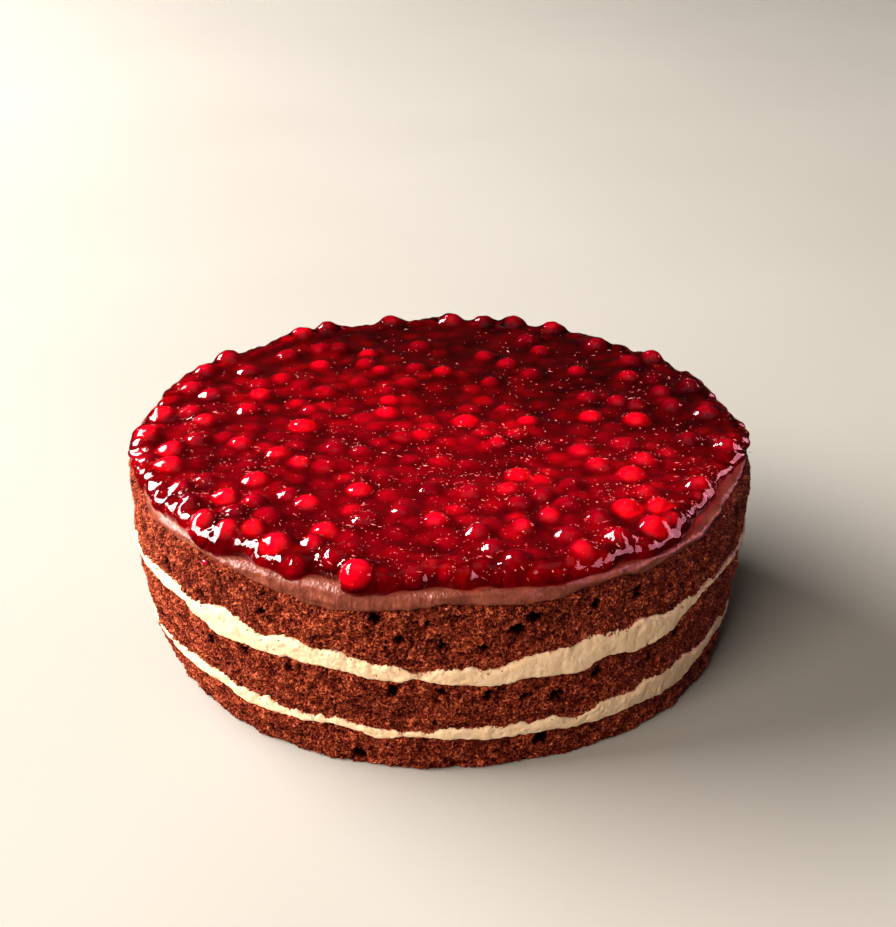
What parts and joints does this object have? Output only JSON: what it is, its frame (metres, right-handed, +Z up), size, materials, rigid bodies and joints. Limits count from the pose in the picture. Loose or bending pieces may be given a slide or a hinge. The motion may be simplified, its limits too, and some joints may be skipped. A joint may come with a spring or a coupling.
{
  "type": "chocolate cake",
  "caption": "Round chocolate layer cake with ivory cream fillings, a band of milk chocolate cream and a glossy red berry jelly top, slightly wider at the rim than at the foot.",
  "frame": {"origin": "centre of the cake's flat underside", "axes": "+Z up, -Y towards the front that the picture shows, +X to its right"},
  "size_m": [0.2143, 0.2143, 0.0756],
  "materials": {
    "sponge": "matte, open chocolate crumb",
    "cream": "soft, slightly moist cream",
    "chocolate_cream": "smooth satin cream",
    "jelly": "wet, mirror-like gloss"
  },
  "bodies": {
    "root": {"sponge_bottom": "sponge", "cream_lower": "cream", "sponge_middle": "sponge", "cream_upper": "cream", "sponge_top": "sponge", "chocolate_cream": "chocolate_cream", "berry_jelly": "jelly"}
  },
  "joints": []
}
